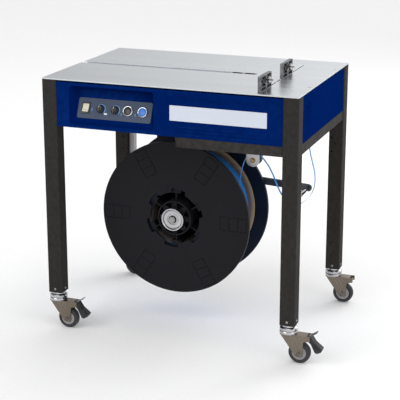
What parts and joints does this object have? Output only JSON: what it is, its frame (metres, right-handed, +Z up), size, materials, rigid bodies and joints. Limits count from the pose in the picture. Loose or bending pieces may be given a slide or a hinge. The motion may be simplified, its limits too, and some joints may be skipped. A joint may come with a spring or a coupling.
{
  "type": "semi automatic strapping machine",
  "caption": "Table-top semi-automatic strapping machine: steel table on castors with blue covers, a control panel, package stops and a strap reel below.",
  "frame": {"origin": "on the floor under the middle of the machine's outline", "axes": "+X to the operator's right, +Y to the back of the machine, +Z up"},
  "size_m": [0.992, 0.6324, 0.9504],
  "materials": {
    "frame_paint": "semi-matt powder coat, warm dark grey",
    "duct_grey": "matt light grey trunking",
    "race_chrome": "bright chrome",
    "fork_zinc": "zinc plated pressed steel",
    "wheel_rubber": "grey-black rubber",
    "cover_blue": "satin dark blue",
    "panel_grey": "fine satin grey",
    "plate_white": "satin white, blank",
    "table_steel": "fine brushed stainless steel",
    "screw_steel": "plated steel",
    "bezel_chrome": "polished chrome",
    "rocker_cream": "glossy cream",
    "control_black": "glossy black",
    "button_blue": "glossy bright blue",
    "stop_black": "moulded matt black",
    "reel_plastic": "moulded charcoal",
    "rear_flange_plastic": "moulded blue-black",
    "core_board": "kraft board",
    "strap_blue": "embossed bright blue strap",
    "arm_steel": "glossy dark paint",
    "bracket_steel": "plated steel",
    "roller_plastic": "dark nylon",
    "bolt_brass": "brass",
    "head_steel": "machined steel",
    "motor_grey": "cast aluminium",
    "box_grey": "light grey paint",
    "pedal_rubber": "black moulded rubber"
  },
  "bodies": {
    "frame": {"leg_front_left": "frame_paint", "leg_front_right": "frame_paint", "leg_rear_left": "frame_paint", "leg_rear_right": "frame_paint", "top_frame": "frame_paint", "mechanism_tray": "frame_paint", "wiring_duct": "duct_grey", "caster_mounts": "race_chrome", "front_cover": "cover_blue", "rear_cover": "cover_blue", "left_cover": "cover_blue", "right_cover": "cover_blue", "control_panel": "panel_grey", "name_plate": "plate_white", "front_table_plate": "table_steel", "rear_table_plate": "table_steel", "strap_chute": "table_steel", "frame_screws": "screw_steel", "control_bezels": "bezel_chrome", "reel_stand": "frame_paint", "reel_lock_nut": "race_chrome", "guide_bracket": "bracket_steel", "guide_bolt": "bolt_brass", "strap_band": "strap_blue", "sealing_head": "head_steel", "drive_belt": "wheel_rubber", "motor": "motor_grey", "electrical_box": "box_grey"},
    "reel": {"reel_hub": "reel_plastic", "coil_core": "core_board", "strap_coil": "strap_blue", "side_board": "core_board", "front_flange": "reel_plastic", "rear_flange": "rear_flange_plastic"},
    "dancer": {"dancer_arm": "arm_steel", "brake_shoe": "wheel_rubber"},
    "guide_roller": {"guide_roller": "roller_plastic"},
    "stop_button": {"stop_button": "control_black"},
    "start_button": {"start_button": "button_blue"},
    "tension_dial": {"tension_dial": "control_black"},
    "feed_dial": {"feed_dial": "control_black"},
    "rocker": {"rocker_switch": "rocker_cream"},
    "front_stop": {"front_package_stop": "stop_black"},
    "rear_stop": {"rear_package_stop": "stop_black"},
    "front_stop_knob": {"front_stop_knob": "screw_steel"},
    "rear_stop_knob": {"rear_stop_knob": "screw_steel"},
    "camshaft": {"camshaft": "head_steel"},
    "motor_pulley": {"motor_pulley": "head_steel"},
    "feed_roller": {"feed_roller": "head_steel"},
    "pinch_roller": {"pinch_roller": "head_steel"},
    "fork_front_left": {"caster_fork_front_left": "fork_zinc"},
    "wheel_front_left": {"caster_wheel_front_left": "wheel_rubber"},
    "fork_front_right": {"caster_fork_front_right": "fork_zinc"},
    "wheel_front_right": {"caster_wheel_front_right": "wheel_rubber"},
    "fork_rear_left": {"caster_fork_rear_left": "fork_zinc"},
    "wheel_rear_left": {"caster_wheel_rear_left": "wheel_rubber"},
    "fork_rear_right": {"caster_fork_rear_right": "fork_zinc"},
    "wheel_rear_right": {"caster_wheel_rear_right": "wheel_rubber"},
    "pedal_front_left": {"brake_pedal_front_left": "pedal_rubber"},
    "pedal_front_right": {"brake_pedal_front_right": "pedal_rubber"}
  },
  "joints": [
    {"name": "reel_spin", "type": "hinge", "parent": "frame", "child": "reel", "pos_m": [-0.097, 0, 0.39], "axis": [0, 1, 0], "continuous": true},
    {"name": "dancer_lift", "type": "hinge", "parent": "frame", "child": "dancer", "pos_m": [-0.236, 0, 0.509], "axis": [0, -1, 0], "range_deg": [0, 15]},
    {"name": "guide_roller_spin", "type": "hinge", "parent": "frame", "child": "guide_roller", "pos_m": [0.157, 0, 0.5996], "axis": [0, 1, 0], "continuous": true},
    {"name": "swivel_front_left", "type": "hinge", "parent": "frame", "child": "fork_front_left", "pos_m": [-0.47, -0.289, 0.101], "axis": [0, 0, 1], "continuous": true},
    {"name": "roll_front_left", "type": "hinge", "parent": "fork_front_left", "child": "wheel_front_left", "pos_m": [-0.431, -0.289, 0.0375], "axis": [0, 1, 0], "continuous": true},
    {"name": "swivel_front_right", "type": "hinge", "parent": "frame", "child": "fork_front_right", "pos_m": [0.378, -0.289, 0.101], "axis": [0, 0, 1], "continuous": true},
    {"name": "roll_front_right", "type": "hinge", "parent": "fork_front_right", "child": "wheel_front_right", "pos_m": [0.417, -0.289, 0.0375], "axis": [0, 1, 0], "continuous": true},
    {"name": "swivel_rear_left", "type": "hinge", "parent": "frame", "child": "fork_rear_left", "pos_m": [-0.47, 0.289, 0.101], "axis": [0, 0, 1], "continuous": true},
    {"name": "roll_rear_left", "type": "hinge", "parent": "fork_rear_left", "child": "wheel_rear_left", "pos_m": [-0.431, 0.289, 0.0375], "axis": [0, 1, 0], "continuous": true},
    {"name": "swivel_rear_right", "type": "hinge", "parent": "frame", "child": "fork_rear_right", "pos_m": [0.378, 0.289, 0.101], "axis": [0, 0, 1], "continuous": true},
    {"name": "roll_rear_right", "type": "hinge", "parent": "fork_rear_right", "child": "wheel_rear_right", "pos_m": [0.417, 0.289, 0.0375], "axis": [0, 1, 0], "continuous": true},
    {"name": "brake_front_left", "type": "hinge", "parent": "fork_front_left", "child": "pedal_front_left", "pos_m": [-0.399, -0.289, 0.093], "axis": [0, 1, 0], "range_deg": [0, 14]},
    {"name": "brake_front_right", "type": "hinge", "parent": "fork_front_right", "child": "pedal_front_right", "pos_m": [0.449, -0.289, 0.093], "axis": [0, 1, 0], "range_deg": [0, 14]},
    {"name": "stop_button_press", "type": "slide", "parent": "frame", "child": "stop_button", "axis": [0, 0.9205, -0.3907], "range_m": [0, 0.004], "stiffness_N_per_m": 300, "springref_m": -0.002},
    {"name": "start_button_press", "type": "slide", "parent": "frame", "child": "start_button", "axis": [0, 0.9205, -0.3907], "range_m": [0, 0.004], "stiffness_N_per_m": 300, "springref_m": -0.002},
    {"name": "tension_dial_turn", "type": "hinge", "parent": "frame", "child": "tension_dial", "pos_m": [-0.288, -0.296, 0.804], "axis": [0, -0.9205, 0.3907], "range_deg": [-135, 135]},
    {"name": "feed_dial_turn", "type": "hinge", "parent": "frame", "child": "feed_dial", "pos_m": [-0.235, -0.296, 0.804], "axis": [0, -0.9205, 0.3907], "range_deg": [-135, 135]},
    {"name": "rocker_tilt", "type": "hinge", "parent": "frame", "child": "rocker", "pos_m": [-0.342, -0.29692, 0.80439], "axis": [1, 0, 0], "range_deg": [0, 18]},
    {"name": "front_stop_slide", "type": "slide", "parent": "frame", "child": "front_stop", "axis": [0, 1, 0], "range_m": [-0.02, 0.06]},
    {"name": "rear_stop_slide", "type": "slide", "parent": "frame", "child": "rear_stop", "axis": [0, 1, 0], "range_m": [-0.06, 0.19]},
    {"name": "front_stop_knob_turn", "type": "hinge", "parent": "front_stop", "child": "front_stop_knob", "pos_m": [0.265, -0.234, 0.932], "axis": [1, 0, 0], "continuous": true},
    {"name": "rear_stop_knob_turn", "type": "hinge", "parent": "rear_stop", "child": "rear_stop_knob", "pos_m": [0.265, 0.004, 0.932], "axis": [1, 0, 0], "continuous": true},
    {"name": "camshaft_spin", "type": "hinge", "parent": "frame", "child": "camshaft", "pos_m": [0.114, 0, 0.752], "axis": [0, 1, 0], "continuous": true},
    {"name": "motor_pulley_spin", "type": "hinge", "parent": "frame", "child": "motor_pulley", "pos_m": [0.289, 0, 0.768], "axis": [0, 1, 0], "continuous": true},
    {"name": "feed_roller_spin", "type": "hinge", "parent": "frame", "child": "feed_roller", "pos_m": [0.212, 0, 0.805], "axis": [0, 1, 0], "continuous": true},
    {"name": "pinch_roller_spin", "type": "hinge", "parent": "frame", "child": "pinch_roller", "pos_m": [0.212, 0, 0.8492], "axis": [0, 1, 0], "continuous": true}
  ],
  "couplings": [
    {"joint": "motor_pulley_spin", "follows": "camshaft_spin", "ratio": 2.5},
    {"joint": "pinch_roller_spin", "follows": "feed_roller_spin", "ratio": -1.5294}
  ]
}
